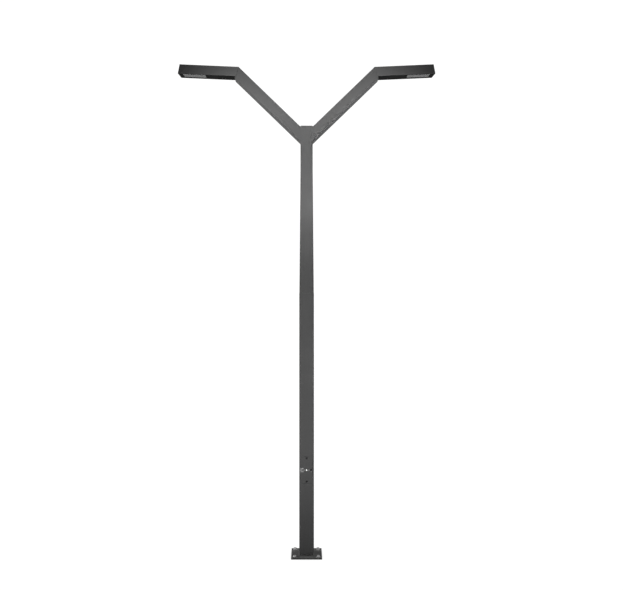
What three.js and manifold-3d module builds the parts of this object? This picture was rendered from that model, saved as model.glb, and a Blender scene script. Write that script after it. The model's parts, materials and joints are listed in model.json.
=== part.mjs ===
// A 4 m twin-arm street light: a square steel pole on a bolted base plate, a hinged and lockable
// access door with a breaker behind it, two inclined arms, and a slim LED head on each arm.
//
// Millimetres, +Z up. The origin is the centre of the base plate's underside. The door faces -Y,
// and the arms reach out along -X and +X.

import * as THREE from "three";
import { mergeVertices } from "three/addons/utils/BufferGeometryUtils.js";
import Module from "manifold-3d";

const wasm = await Module();
wasm.setup();

// ---------------------------------------------------------------- driving dimensions

const GAP = 0.3; // between neighbours that touch on the real object
const PAST = 1; // how far a cutting tool runs past the face it cuts
const FAR = 4500; // past the far side of anything here
const DEGREE = Math.PI / 180;

const PLATE = { size: 250, thick: 14, corner: 4, cableHole: 40, boltPitch: 190, boltHole: 9 };
const ANCHOR = { shank: 8, acrossFlats: 24, headHigh: 9, washer: 15, washerThick: 3, endZ: 0.5 };

const POLE = { size: 120, wall: 4, corner: 7, jointZ: 2147 };
const UPPER = { foot: 118, top: 100, taperEndZ: 3150, topZ: 3508, capThick: 4, cableHole: 16 };
const SLEEVE = { below: 111.4, above: 106.6, wall: 4, corner: 5, bottomZ: 2047, topZ: 2300 };
const JOINT_BOLT = { stepZ: 55, shank: 4, tipY: 46, head: 7, headHigh: 4.2 };

const DOOR = { half: 46, height: 220, thick: 4, corner: 2, gap: 1.2, centreZ: 707, screwStep: 94 };
const FRAME = { thick: 5, outer: 54, side: 44, barIn: 11, barOut: 32, screwHole: 4 };
const SCREW = { shank: 3, head: 8, headHigh: 3.5, reach: 3, socket: 4 };
const HINGE = { x: -49.5, y: -66, half: 17, middle: 6, play: 0.4, outerX: -53, footThick: 1.4 };
const BARREL = { radius: 4, bore: 2.2, pin: 1.9, pinHead: 3.2, pinHeadHigh: 1.5 };
const LEAF = { thick: 2, half: 16.5, startX: -44.5, endX: -23, web: 2 };
const STRAP = { thick: 2.5, half: 8, startX: -41, tipX: 26, nut: 13, nutThick: 6 };
const STRAP_BOLT = { shank: 4, head: 7, headHigh: 4, reach: 8, socket: 5, socketDeep: 2 };

const LOCK = { x: 37.5, flange: 8.5, flangeThick: 2.5, body: 6, bore: 4.2, nut: 16, nutThick: 3, reach: 5 };
const THUMB = { hub: 6, thick: 2.5, half: 3.5, length: 17, core: 3.8, reach: 5.4 };
const CAM = { frontY: 5.7, thick: 2.5, hub: 7, half: 5, length: 15, tipThick: 3, tipFrontY: 1 };
const CAM_SCREW = { shank: 2.5, head: 5, headHigh: 3 };

const BOARD = { half: 35, frontY: 12, thick: 3, bottomZ: 615, topZ: 800 };
const LEG = { half: 6, high: 12, inset: 15 };
const BREAKER = { half: 9, frontY: -24, stepY: -12, bottomZ: 650, topZ: 735, pivotZ: 692, noseHalf: 22 };
const SLOT = { half: 4.5, high: 14, deep: 10 };
const LEVER = { hub: 4, half: 4, pin: 1.9, paddle: 13, thick: 4, tilt: 30 };
const TERMINAL = { half: 24, frontY: -10, bottomZ: 762, topZ: 788, pitch: 16, well: 3.5, wellDeep: 5 };
const EARTH = { y: 25, z: 627, stud: 4, length: 16, nut: 13, nutThick: 7, nutInset: 1 };

const ARM = { depth: 100, high: 90, wall: 4, corner: 5, lean: 46 * DEGREE, meetZ: 3394, reach: 552 };
const SEAM = 18 * DEGREE; // the cut between arm and head leans this far from the vertical
const SPIGOT = { plate: 4, width: 60, height: 44, wall: 3, corner: 4, length: 108, cableHole: 12 };
const HEAD = { length: 494, height: 76.5, depth: 114, wall: 3, tilt: 2.5 * DEGREE, cap: 3 };
const END = { lean: 8.5 * DEGREE, turn: 5.5 * DEGREE }; // its lower front corner is outermost
const LEDGE = { recess: 3, reach: 6, thick: 3, bridgeX: 128, bridgeWide: 12, bridgeThick: 5 };
const PANEL = { thick: 2.5, splitX: 252, windowX: 268, windowEndX: 459, windowHalf: 44 };
const COVER_SCREW = { shank: 2, head: 4.5, headHigh: 2 };
const GLASS = { thick: 4, margin: 3 };
const LED = { boardHigh: 13, boardThick: 1.6, overlap: 2 };
const SINK = { half: 46, thick: 5, overlap: 4, fin: 3, fins: 5, finSpan: 42 };
const DRIVER = { startX: 124, endX: 240, half: 30, high: 34 };
const CABLE = {
  radius: 4.5,
  inPole: [[10, 788.3], [12, 908], [20, 2100], [14, 3100], [14, 3348]],
  inArm: [34, 66, 130, 432, 502],
  inHead: [[11, -40], [84, -34], [123, -26]],
};

const FRONT_Y = -POLE.size / 2;
const DOOR_BACK_Y = FRONT_Y + DOOR.thick;
const LEAF_FRONT_Y = FRONT_Y - GAP - LEAF.thick;
const STRAP_FRONT_Y = LEAF_FRONT_Y - GAP - STRAP.thick;
const BAND_FRONT_Y = FRONT_Y - GAP - STRAP.thick;

// Each head is modelled from the elbow, the upper corner where its arm ends.
const ELBOW_Z = ARM.meetZ + ARM.reach / Math.tan(ARM.lean) + ARM.high / 2 / Math.sin(ARM.lean);
const HEAD_SEAM = SEAM - HEAD.tilt; // the seam's lean as seen along the tilted head
const MID_Z = -HEAD.height / 2;
const LEDGE_Z = LEDGE.recess - HEAD.height;
const PANEL_TOP_Z = LEDGE_Z - GAP;
const PANEL_BOTTOM_Z = PANEL_TOP_Z - PANEL.thick;
const INNER_HALF = HEAD.depth / 2 - HEAD.wall;

// ---------------------------------------------------------------- materials

const paint = (color, roughness) => new THREE.MeshStandardMaterial({ color, roughness, metalness: 0.2 });
const metal = (color, roughness) => new THREE.MeshStandardMaterial({ color, roughness, metalness: 1 });
const plastic = (color) => new THREE.MeshStandardMaterial({ color, roughness: 0.5, metalness: 0 });

const MATERIALS = {
  coat: paint(0x4b4c4e, 0.55),
  blackCoat: paint(0x1b1c1d, 0.6),
  zinc: metal(0xd4d6d8, 0.3),
  stainless: metal(0xb4b6b8, 0.35),
  strap: metal(0x77787a, 0.5),
  blackSteel: metal(0x26272a, 0.45),
  aluminium: metal(0xa9acaf, 0.4),
  board: plastic(0xf0f0ec),
  shell: plastic(0xdadad4),
  lever: plastic(0x1c1d1f),
  cable: plastic(0x191a1b),
  glass: new THREE.MeshStandardMaterial({ color: 0xdfe5e8, roughness: 0.1, metalness: 0 }),
};

// ---------------------------------------------------------------- solids and shapes

// A closed three.js geometry as a manifold-3d solid.
function solid(geometry) {
  const bare = geometry.index ? geometry.toNonIndexed() : geometry.clone();
  bare.deleteAttribute("normal");
  bare.deleteAttribute("uv");
  const merged = mergeVertices(bare, 1e-3);
  const vertProperties = merged.attributes.position.array;
  const triVerts = new Uint32Array(merged.index.array);
  return new wasm.Manifold(new wasm.Mesh({ numProp: 3, vertProperties, triVerts }));
}

// A manifold-3d solid as a three.js geometry.
function geometryOf(made) {
  const { vertProperties, triVerts } = made.getMesh();
  const geometry = new THREE.BufferGeometry();
  geometry.setAttribute("position", new THREE.BufferAttribute(new Float32Array(vertProperties), 3));
  geometry.setIndex(new THREE.BufferAttribute(new Uint32Array(triVerts), 1));
  return geometry.toNonIndexed();
}

// The mirror image across X = 0. Two corners of each triangle change places to keep it facing out.
function mirrored(geometry) {
  const source = geometry.getAttribute("position");
  const order = [0, 2, 1];
  const corners = new Float32Array(source.count * 3);
  for (let i = 0; i < source.count; i++) {
    const from = i - (i % 3) + order[i % 3];
    corners.set([-source.getX(from), source.getY(from), source.getZ(from)], 3 * i);
  }
  const flipped = new THREE.BufferGeometry();
  flipped.setAttribute("position", new THREE.BufferAttribute(corners, 3));
  return flipped;
}

function piece(name, made, material, side = 1) {
  const plain = geometryOf(made);
  const geometry = side > 0 ? plain : mirrored(plain);
  geometry.computeVertexNormals();
  const mesh = new THREE.Mesh(geometry, material);
  mesh.name = name;
  return mesh;
}

const join = (first, ...others) => others.reduce((sum, next) => sum.add(next), first);
const cut = (first, ...others) => others.reduce((rest, next) => rest.subtract(next), first);
const moved = (made, matrix) => solid(geometryOf(made).applyMatrix4(matrix));

// A box between two opposite corners.
function box([x0, y0, z0], [x1, y1, z1]) {
  const geometry = new THREE.BoxGeometry(x1 - x0, y1 - y0, z1 - z0);
  return solid(geometry.translate((x0 + x1) / 2, (y0 + y1) / 2, (z0 + z1) / 2));
}

// Round bars along each axis. Six sides make a hexagon.
function barZ(radius, x, y, z0, z1, sides = 24) {
  const geometry = new THREE.CylinderGeometry(radius, radius, z1 - z0, sides);
  return solid(geometry.rotateX(Math.PI / 2).translate(x, y, (z0 + z1) / 2));
}

function barY(radius, x, z, y0, y1, sides = 24) {
  const geometry = new THREE.CylinderGeometry(radius, radius, y1 - y0, sides);
  return solid(geometry.translate(x, (y0 + y1) / 2, z));
}

function barX(radius, y, z, x0, x1, sides = 24) {
  const geometry = new THREE.CylinderGeometry(radius, radius, x1 - x0, sides);
  return solid(geometry.rotateZ(Math.PI / 2).translate((x0 + x1) / 2, y, z));
}

const hexRadius = (acrossFlats) => acrossFlats / Math.sqrt(3);

function roundedRect(width, height, corner, x = 0, y = 0) {
  const [w, h] = [width / 2 - corner, height / 2 - corner];
  const shape = new THREE.Shape();
  shape.absarc(x + w, y + h, corner, 0, Math.PI / 2);
  shape.absarc(x - w, y + h, corner, Math.PI / 2, Math.PI);
  shape.absarc(x - w, y - h, corner, Math.PI, 1.5 * Math.PI);
  shape.absarc(x + w, y - h, corner, 1.5 * Math.PI, 2 * Math.PI);
  shape.closePath();
  return shape;
}

function hollowRect(width, height, wall, corner, x = 0, y = 0) {
  const shape = roundedRect(width, height, corner, x, y);
  const innerCorner = Math.max(corner - wall, 1);
  shape.holes.push(roundedRect(width - 2 * wall, height - 2 * wall, innerCorner, x, y));
  return shape;
}

const squareTube = (size, wall, corner) => hollowRect(size, size, wall, corner);

// A shape pushed along +Z, +X or +Y. For +X it's drawn in Y and Z, and for +Y in X and Z.
function prismZ(shape, z0, z1, steps = 1) {
  const options = { depth: z1 - z0, bevelEnabled: false, curveSegments: 3, steps };
  return new THREE.ExtrudeGeometry(shape, options).translate(0, 0, z0);
}

function prismX(shape, x0, x1) {
  const yAxis = new THREE.Vector3(0, 1, 0);
  const zAxis = new THREE.Vector3(0, 0, 1);
  const turn = new THREE.Matrix4().makeBasis(yAxis, zAxis, new THREE.Vector3(1, 0, 0));
  return prismZ(shape, 0, x1 - x0).applyMatrix4(turn).translate(x0, 0, 0);
}

function prismY(shape, y0, y1) {
  return prismZ(shape, 0, y1 - y0).rotateX(Math.PI / 2).translate(0, y1, 0);
}

// ---------------------------------------------------------------- base plate and anchors

const sides = [-PLATE.boltPitch / 2, PLATE.boltPitch / 2];
const anchorPlaces = sides.flatMap((y) => sides.map((x) => [x, y]));

function basePlate() {
  const blank = solid(prismZ(roundedRect(PLATE.size, PLATE.size, PLATE.corner), 0, PLATE.thick));
  const hole = (radius, x, y) => barZ(radius, x, y, -PAST, PLATE.thick + PAST);
  const boltHoles = anchorPlaces.map(([x, y]) => hole(PLATE.boltHole, x, y));
  return piece("base_plate", cut(blank, hole(PLATE.cableHole, 0, 0), ...boltHoles), MATERIALS.coat);
}

function anchorBolt([x, y], index) {
  const seat = PLATE.thick + ANCHOR.washerThick;
  const shank = barZ(ANCHOR.shank, x, y, ANCHOR.endZ, seat + PAST);
  const head = barZ(hexRadius(ANCHOR.acrossFlats), x, y, seat, seat + ANCHOR.headHigh, 6);
  return piece(`anchor_bolt_${index + 1}`, join(head, shank), MATERIALS.zinc);
}

function anchorWasher([x, y], index) {
  const disc = barZ(ANCHOR.washer, x, y, PLATE.thick, PLATE.thick + ANCHOR.washerThick);
  const hole = barZ(ANCHOR.shank + GAP, x, y, 0, PLATE.thick + ANCHOR.washerThick + PAST);
  return piece(`anchor_washer_${index + 1}`, cut(disc, hole), MATERIALS.zinc);
}

// ---------------------------------------------------------------- pole

const jointBoltZ = [POLE.jointZ - JOINT_BOLT.stepZ, POLE.jointZ + JOINT_BOLT.stepZ];

function jointBoltHole(z) {
  return barY(JOINT_BOLT.shank + GAP, 0, z, JOINT_BOLT.tipY - PAST, POLE.size / 2 + PAST);
}

// Half the upper shaft's width: it tapers from the joint up, then runs straight to the top.
function upperHalf(z) {
  const share = Math.min((z - POLE.jointZ) / (UPPER.taperEndZ - POLE.jointZ), 1);
  return (UPPER.foot + (UPPER.top - UPPER.foot) * share) / 2;
}

function lowerShaft() {
  const tube = solid(prismZ(squareTube(POLE.size, POLE.wall, POLE.corner), PLATE.thick, POLE.jointZ));
  const [w, h] = [DOOR.half + DOOR.gap, DOOR.height / 2 + DOOR.gap];
  const opening = box(
    [-w, FRONT_Y - PAST, DOOR.centreZ - h],
    [w, DOOR_BACK_Y + PAST, DOOR.centreZ + h],
  );
  return piece("lower_shaft", cut(tube, opening, jointBoltHole(jointBoltZ[0])), MATERIALS.coat);
}

function jointSleeve() {
  const tube = (size, z0, z1) => solid(prismZ(squareTube(size, SLEEVE.wall, SLEEVE.corner), z0, z1));
  const below = tube(SLEEVE.below, SLEEVE.bottomZ, POLE.jointZ);
  const above = tube(SLEEVE.above, POLE.jointZ - PAST, SLEEVE.topZ);
  return piece("joint_sleeve", cut(join(below, above), ...jointBoltZ.map(jointBoltHole)), MATERIALS.zinc);
}

function jointBolt(z, index) {
  const outside = index === 0 ? POLE.size / 2 : upperHalf(z);
  const shank = barY(JOINT_BOLT.shank, 0, z, JOINT_BOLT.tipY, outside + PAST);
  const head = barY(JOINT_BOLT.head, 0, z, outside + GAP, outside + GAP + JOINT_BOLT.headHigh);
  return piece(`joint_bolt_${index + 1}`, join(head, shank), MATERIALS.blackSteel);
}

// A two-step prism whose three levels are moved to the real heights and widths.
function upperShaft() {
  const levels = [POLE.jointZ + GAP, UPPER.taperEndZ, UPPER.topZ];
  const geometry = prismZ(squareTube(UPPER.foot, POLE.wall, POLE.corner), 0, 2, 2);
  const points = geometry.getAttribute("position");
  for (let i = 0; i < points.count; i++) {
    const z = levels[Math.round(points.getZ(i))];
    const scale = (2 * upperHalf(z)) / UPPER.foot;
    points.setXYZ(i, points.getX(i) * scale, points.getY(i) * scale, z);
  }
  const cableHole = barX(UPPER.cableHole, 0, armZ(UPPER.top / 2), -UPPER.top, UPPER.top);
  return piece("upper_shaft", cut(solid(geometry), cableHole, jointBoltHole(jointBoltZ[1])), MATERIALS.coat);
}

function topCap() {
  const outline = roundedRect(UPPER.top, UPPER.top, POLE.corner);
  const cap = solid(prismZ(outline, UPPER.topZ, UPPER.topZ + UPPER.capThick));
  return piece("pole_top_cap", cap, MATERIALS.coat);
}

// ---------------------------------------------------------------- access door

const doorScrewZ = [DOOR.centreZ + DOOR.screwStep, DOOR.centreZ - DOOR.screwStep];

// A C-shaped frame behind the opening: a stile on the hinge side and two bars for the screws.
function doorFrame() {
  const [front, back] = [DOOR_BACK_Y + GAP, DOOR_BACK_Y + GAP + FRAME.thick];
  const bars = doorScrewZ.map((z, index) => {
    const [under, over] = index === 0 ? [FRAME.barIn, FRAME.barOut] : [FRAME.barOut, FRAME.barIn];
    return box([-FRAME.outer, front, z - under], [FRAME.outer, back, z + over]);
  });
  const stile = box([-FRAME.outer, front, doorScrewZ[1]], [-FRAME.side, back, doorScrewZ[0]]);
  const holes = doorScrewZ.map((z) => barY(FRAME.screwHole, 0, z, front - PAST, back + PAST));
  return piece("door_frame", cut(join(stile, ...bars), ...holes), MATERIALS.coat);
}

function accessDoor() {
  const outline = roundedRect(2 * DOOR.half, DOOR.height, DOOR.corner, 0, DOOR.centreZ);
  const panel = solid(prismY(outline, FRONT_Y, DOOR_BACK_Y));
  const hole = (radius, x, z) => barY(radius + GAP, x, z, FRONT_Y - PAST, DOOR_BACK_Y + PAST);
  const screwHoles = doorScrewZ.map((z) => hole(SCREW.shank, 0, z));
  const boltHole = hole(STRAP_BOLT.shank, 0, DOOR.centreZ);
  const lockHole = hole(LOCK.body, LOCK.x, DOOR.centreZ);
  return piece("access_door", cut(panel, boltHole, lockHole, ...screwHoles), MATERIALS.coat);
}

function doorScrew(name, z) {
  const faceY = FRONT_Y - GAP;
  const head = barY(SCREW.head, 0, z, faceY - SCREW.headHigh, faceY);
  const shank = barY(SCREW.shank, 0, z, faceY - PAST, DOOR_BACK_Y + SCREW.reach);
  const socket = barY(hexRadius(SCREW.socket), 0, z, faceY - SCREW.headHigh - PAST, faceY - PAST, 6);
  return piece(name, cut(join(head, shank), socket), MATERIALS.blackSteel);
}

// ---------------------------------------------------------------- hinge and strap

const hingeBar = (radius, z0, z1) => barZ(radius, HINGE.x, HINGE.y, DOOR.centreZ + z0, DOOR.centreZ + z1);

// The half on the pole: a narrow foot and two outer barrels.
function hingeBracket() {
  const footEnd = -DOOR.half - DOOR.gap;
  const foot = box(
    [HINGE.outerX, FRONT_Y - GAP - HINGE.footThick, DOOR.centreZ - HINGE.half],
    [footEnd, FRONT_Y - GAP, DOOR.centreZ + HINGE.half],
  );
  const barrels = [
    [HINGE.middle + HINGE.play, HINGE.half],
    [-HINGE.half, -HINGE.middle - HINGE.play],
  ].map(([z0, z1]) => {
    const start = [HINGE.outerX, HINGE.y, DOOR.centreZ + z0];
    const web = box(start, [footEnd - PAST, FRONT_Y - PAST, DOOR.centreZ + z1]);
    return join(hingeBar(BARREL.radius, z0, z1), web);
  });
  const bore = hingeBar(BARREL.bore, -HINGE.half - PAST, HINGE.half + PAST);
  return piece("hinge_bracket", cut(join(foot, ...barrels), bore), MATERIALS.stainless);
}

function hingePin() {
  const headZ = HINGE.half + GAP;
  const pin = hingeBar(BARREL.pin, -headZ, headZ + PAST);
  const head = hingeBar(BARREL.pinHead, headZ, headZ + BARREL.pinHeadHigh);
  return piece("hinge_pin", join(pin, head), MATERIALS.stainless);
}

// The half on the door: the middle barrel, and a leaf that the strap runs across.
function hingeLeaf() {
  const z = DOOR.centreZ;
  const webEndX = LEAF.startX + LEAF.web;
  const leaf = box([LEAF.startX, LEAF_FRONT_Y, z - LEAF.half], [LEAF.endX, FRONT_Y - GAP, z + LEAF.half]);
  const web = (x0, y1) => box([x0, HINGE.y, z - HINGE.middle], [webEndX, y1, z + HINGE.middle]);
  const barrel = hingeBar(BARREL.radius, -HINGE.middle, HINGE.middle);
  const bore = hingeBar(BARREL.bore, -HINGE.middle - PAST, HINGE.middle + PAST);
  const whole = join(leaf, web(HINGE.x + PAST, LEAF_FRONT_Y), web(LEAF.startX, FRONT_Y - GAP), barrel);
  return piece("hinge_leaf", cut(whole, bore), MATERIALS.stainless);
}

// A flat bar with a step: over the leaf, then down onto the door, with a round tip.
function doorStrap() {
  const z = DOOR.centreZ;
  const bar = (x0, x1, y0, y1) => box([x0, y0, z - STRAP.half], [x1, y1, z + STRAP.half]);
  const stepX = LEAF.endX + GAP;
  const tipX = STRAP.tipX - STRAP.half;
  const over = bar(STRAP.startX, stepX + STRAP.thick, STRAP_FRONT_Y, LEAF_FRONT_Y - GAP);
  const step = bar(stepX, stepX + STRAP.thick, STRAP_FRONT_Y, FRONT_Y - GAP);
  const band = bar(stepX, tipX, BAND_FRONT_Y, FRONT_Y - GAP);
  const tip = barY(STRAP.half, tipX, z, BAND_FRONT_Y, FRONT_Y - GAP);
  const boltHole = barY(STRAP_BOLT.shank + GAP, 0, z, STRAP_FRONT_Y, FRONT_Y);
  return piece("door_strap", cut(join(over, step, band, tip), boltHole), MATERIALS.strap);
}

function strapBolt() {
  const seatY = BAND_FRONT_Y - GAP;
  const topY = seatY - STRAP_BOLT.headHigh;
  const head = barY(STRAP_BOLT.head, 0, DOOR.centreZ, topY, seatY);
  const shank = barY(STRAP_BOLT.shank, 0, DOOR.centreZ, seatY - PAST, DOOR_BACK_Y + STRAP_BOLT.reach);
  const socketEndY = topY + STRAP_BOLT.socketDeep;
  const socket = barY(hexRadius(STRAP_BOLT.socket), 0, DOOR.centreZ, topY - PAST, socketEndY, 6);
  return piece("strap_bolt", cut(join(head, shank), socket), MATERIALS.zinc);
}

// A hexagonal nut against the back of the door.
function doorNut(name, x, acrossFlats, hole, thick) {
  const backY = DOOR_BACK_Y + GAP;
  const hex = barY(hexRadius(acrossFlats), x, DOOR.centreZ, backY, backY + thick, 6);
  const bore = barY(hole + GAP, x, DOOR.centreZ, backY - PAST, backY + thick + PAST);
  return piece(name, cut(hex, bore), MATERIALS.zinc);
}

// ---------------------------------------------------------------- quarter-turn lock

const lockBar = (radius, y0, y1) => barY(radius, LOCK.x, DOOR.centreZ, y0, y1);

// The lock's flange lies on the door from here back, and the thumb lever lies on the flange.
const FLANGE_FRONT_Y = FRONT_Y - GAP - LOCK.flangeThick;
const CAM_BACK_Y = DOOR_BACK_Y + CAM.frontY + CAM.thick;

function lockBody() {
  const flange = lockBar(LOCK.flange, FLANGE_FRONT_Y, FRONT_Y - GAP);
  const barrel = lockBar(LOCK.body, FRONT_Y - PAST, DOOR_BACK_Y + LOCK.reach);
  const bore = lockBar(LOCK.bore, FLANGE_FRONT_Y - PAST, DOOR_BACK_Y + LOCK.reach + PAST);
  return piece("lock_body", cut(join(flange, barrel), bore), MATERIALS.blackSteel);
}

// The turning core, with its thumb lever pointing down when the door is unlocked.
function lockLever() {
  const backY = FLANGE_FRONT_Y - GAP;
  const frontY = backY - THUMB.thick;
  const core = lockBar(THUMB.core, backY - PAST, DOOR_BACK_Y + THUMB.reach);
  const hub = lockBar(THUMB.hub, frontY, backY);
  const lever = box(
    [LOCK.x - THUMB.half, frontY, DOOR.centreZ - THUMB.length],
    [LOCK.x + THUMB.half, backY, DOOR.centreZ],
  );
  return piece("lock_lever", join(hub, core, lever), MATERIALS.stainless);
}

// The cam points down with the lever. Its bent tip passes close behind the pole's wall.
function lockCam() {
  const frontY = DOOR_BACK_Y + CAM.frontY;
  const endZ = DOOR.centreZ - CAM.length;
  const hub = lockBar(CAM.hub, frontY, CAM_BACK_Y);
  const bar = (y0, z1) => box([LOCK.x - CAM.half, y0, endZ], [LOCK.x + CAM.half, CAM_BACK_Y, z1]);
  const arm = bar(frontY, DOOR.centreZ);
  const tip = bar(DOOR_BACK_Y + CAM.tipFrontY, endZ + CAM.tipThick);
  const bore = lockBar(CAM_SCREW.shank + GAP, frontY - PAST, CAM_BACK_Y + PAST);
  return piece("lock_cam", cut(join(hub, arm, tip), bore), MATERIALS.zinc);
}

function lockCamScrew() {
  const seatY = CAM_BACK_Y + GAP;
  const head = lockBar(CAM_SCREW.head, seatY, seatY + CAM_SCREW.headHigh);
  const shank = lockBar(CAM_SCREW.shank, DOOR_BACK_Y + CAM.frontY, seatY + PAST);
  return piece("lock_cam_screw", join(head, shank), MATERIALS.zinc);
}

// ---------------------------------------------------------------- equipment behind the door

function equipmentBoard() {
  const backY = BOARD.frontY + BOARD.thick;
  const plate = box([-BOARD.half, BOARD.frontY, BOARD.bottomZ], [BOARD.half, backY, BOARD.topZ]);
  const rearWall = POLE.size / 2 - POLE.wall - GAP;
  const legBottoms = [BOARD.bottomZ + LEG.inset, BOARD.topZ - LEG.inset - LEG.high];
  const legs = legBottoms.map((z) => box([-LEG.half, backY - PAST, z], [LEG.half, rearWall, z + LEG.high]));
  return piece("equipment_board", join(plate, ...legs), MATERIALS.aluminium);
}

// A single-pole breaker. The lever sits in the slot of its raised middle.
function breakerBody() {
  const { half, frontY, stepY, bottomZ, topZ, pivotZ, noseHalf } = BREAKER;
  const body = box([-half, stepY, bottomZ], [half, BOARD.frontY - GAP, topZ]);
  const nose = box([-half, frontY, pivotZ - noseHalf], [half, stepY + PAST, pivotZ + noseHalf]);
  const slot = box(
    [-SLOT.half, frontY - PAST, pivotZ - SLOT.high],
    [SLOT.half, frontY + SLOT.deep, pivotZ + SLOT.high],
  );
  const bore = barX(LEVER.pin + GAP, frontY + LEVER.hub, pivotZ, -half - PAST, half + PAST);
  return piece("breaker_body", cut(join(body, nose), slot, bore), MATERIALS.shell);
}

// Tilted up is on. Flipping it down switches off.
function breakerLever() {
  const { frontY, half, pivotZ } = BREAKER;
  const pivotY = frontY + LEVER.hub;
  const pin = barX(LEVER.pin, pivotY, pivotZ, GAP - half, half - GAP, 12);
  const hub = barX(LEVER.hub, pivotY, pivotZ, -LEVER.half, LEVER.half, 16);
  const paddle = new THREE.BoxGeometry(2 * LEVER.half, LEVER.paddle, LEVER.thick);
  paddle.translate(0, -LEVER.paddle / 2, 0);
  paddle.rotateX(-LEVER.tilt * DEGREE).translate(0, pivotY, pivotZ);
  return piece("breaker_lever", join(hub, pin, solid(paddle)), MATERIALS.lever);
}

function terminalBlock() {
  const { half, frontY, bottomZ, topZ, pitch, well, wellDeep } = TERMINAL;
  const block = box([-half, frontY, bottomZ], [half, BOARD.frontY - GAP, topZ]);
  const midZ = (bottomZ + topZ) / 2;
  const wells = [-pitch, 0, pitch].map((x) => barY(well, x, midZ, frontY - PAST, frontY + wellDeep, 12));
  return piece("terminal_block", cut(block, ...wells), MATERIALS.shell);
}

function earthBolt() {
  const wallX = POLE.size / 2 - POLE.wall - GAP;
  const nutX = wallX - EARTH.nutInset;
  const stud = barX(EARTH.stud, EARTH.y, EARTH.z, wallX - EARTH.length, wallX);
  const nut = barX(hexRadius(EARTH.nut), EARTH.y, EARTH.z, nutX - EARTH.nutThick, nutX, 6);
  return piece("earth_bolt", join(stud, nut), MATERIALS.zinc);
}

// ---------------------------------------------------------------- arms, modelled on the +X side

// The height of the arm's centre line at a distance x from the pole's axis.
function armZ(x) {
  return ARM.meetZ + x / Math.tan(ARM.lean);
}

// The arm's outline swept along its slope, from the pole's axis past the elbow.
function armBar(shape) {
  const length = (ARM.reach + 2 * ARM.high) / Math.sin(ARM.lean);
  return solid(prismZ(shape, 0, length).rotateY(ARM.lean).translate(0, 0, ARM.meetZ));
}

// All space beyond a plane through the origin that leans from the vertical, moved out by offset.
function beyondPlane(lean, offset) {
  return solid(new THREE.BoxGeometry(FAR, FAR, FAR).translate(FAR / 2 + offset, 0, 0).rotateY(-lean));
}

function arm(name, side) {
  const tube = armBar(hollowRect(ARM.high, ARM.depth, ARM.wall, ARM.corner));
  const headSpace = moved(beyondPlane(SEAM, 0), new THREE.Matrix4().makeTranslation(ARM.reach, 0, ELBOW_Z));
  const poleSpace = box([-FAR, -FAR, 0], [UPPER.top / 2 + GAP, FAR, FAR]);
  return piece(name, cut(tube, headSpace, poleSpace), MATERIALS.coat, side);
}

// ---------------------------------------------------------------- heads, modelled on the +X side
// In a head's own frame x runs out along the head, and z = 0 is its top face.

const headPlace = new THREE.Matrix4()
  .makeTranslation(ARM.reach, 0, ELBOW_Z)
  .multiply(new THREE.Matrix4().makeRotationY(-HEAD.tilt));
const headStart = () => beyondPlane(HEAD_SEAM, SPIGOT.plate + 2 * GAP);
const lowerEnd = new THREE.Matrix4()
  .makeTranslation(HEAD.length, -HEAD.depth / 2, -HEAD.height)
  .multiply(new THREE.Matrix4().makeRotationZ(END.turn));
const beyondEnd = (offset) => moved(beyondPlane(END.lean, offset), lowerEnd);
const headOutline = () => roundedRect(HEAD.depth, HEAD.height, HEAD.wall, 0, MID_Z);

// The plate that closes the arm and the head's open end, and the tube that the head slides onto.
function spigot(name, side) {
  const outside = armBar(roundedRect(ARM.high, HEAD.depth, ARM.corner));
  const armSection = moved(outside, headPlace.clone().invert());
  const plate = cut(
    armSection.intersect(beyondPlane(HEAD_SEAM, GAP)),
    beyondPlane(HEAD_SEAM, GAP + SPIGOT.plate),
    box([-FAR, -FAR, 0], [FAR, FAR, FAR]),
  );
  const outline = hollowRect(SPIGOT.width, SPIGOT.height, SPIGOT.wall, SPIGOT.corner, 0, MID_Z);
  const bar = solid(prismX(outline, -HEAD.height, SPIGOT.length));
  const tube = bar.intersect(beyondPlane(HEAD_SEAM, SPIGOT.plate));
  const cableHole = barX(SPIGOT.cableHole, 0, MID_Z, -HEAD.height, SPIGOT.length - PAST);
  return piece(name, cut(join(plate, tube), cableHole), MATERIALS.coat, side);
}

const COVER_SCREW_X = LEDGE.bridgeX + LEDGE.bridgeWide / 2;

function coverScrewHole() {
  const radius = COVER_SCREW.shank + GAP;
  return barZ(radius, COVER_SCREW_X, 0, PANEL_BOTTOM_Z - PAST, LEDGE_Z + LEDGE.bridgeThick + PAST, 12);
}

// An inverted channel with a ledge along each side and one bridge across, for the cover's screw.
function headHousing(name, side) {
  const [w, h, t] = [HEAD.depth / 2, HEAD.height, HEAD.wall];
  const ledgeTop = LEDGE_Z + LEDGE.thick;
  const inside = [
    [w, -h],
    [w - t, -h],
    [w - t, LEDGE_Z],
    [w - t - LEDGE.reach, LEDGE_Z],
    [w - t - LEDGE.reach, ledgeTop],
    [w - t, ledgeTop],
    [w - t, -t],
  ];
  const outline = new THREE.Shape();
  outline.moveTo(-w, -h);
  outline.absarc(t - w, -t, t, Math.PI, Math.PI / 2, true);
  outline.absarc(w - t, -t, t, Math.PI / 2, 0, true);
  inside.forEach(([y, z]) => outline.lineTo(y, z));
  [...inside].reverse().slice(0, -1).forEach(([y, z]) => outline.lineTo(-y, z));
  outline.closePath();
  const channel = solid(prismX(outline, -HEAD.height, HEAD.length));
  const bridge = box(
    [LEDGE.bridgeX, -INNER_HALF - PAST, LEDGE_Z],
    [LEDGE.bridgeX + LEDGE.bridgeWide, INNER_HALF + PAST, LEDGE_Z + LEDGE.bridgeThick],
  );
  const body = cut(join(channel, bridge), coverScrewHole(), beyondEnd(-HEAD.cap - GAP));
  return piece(name, body.intersect(headStart()), MATERIALS.coat, side);
}

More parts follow.
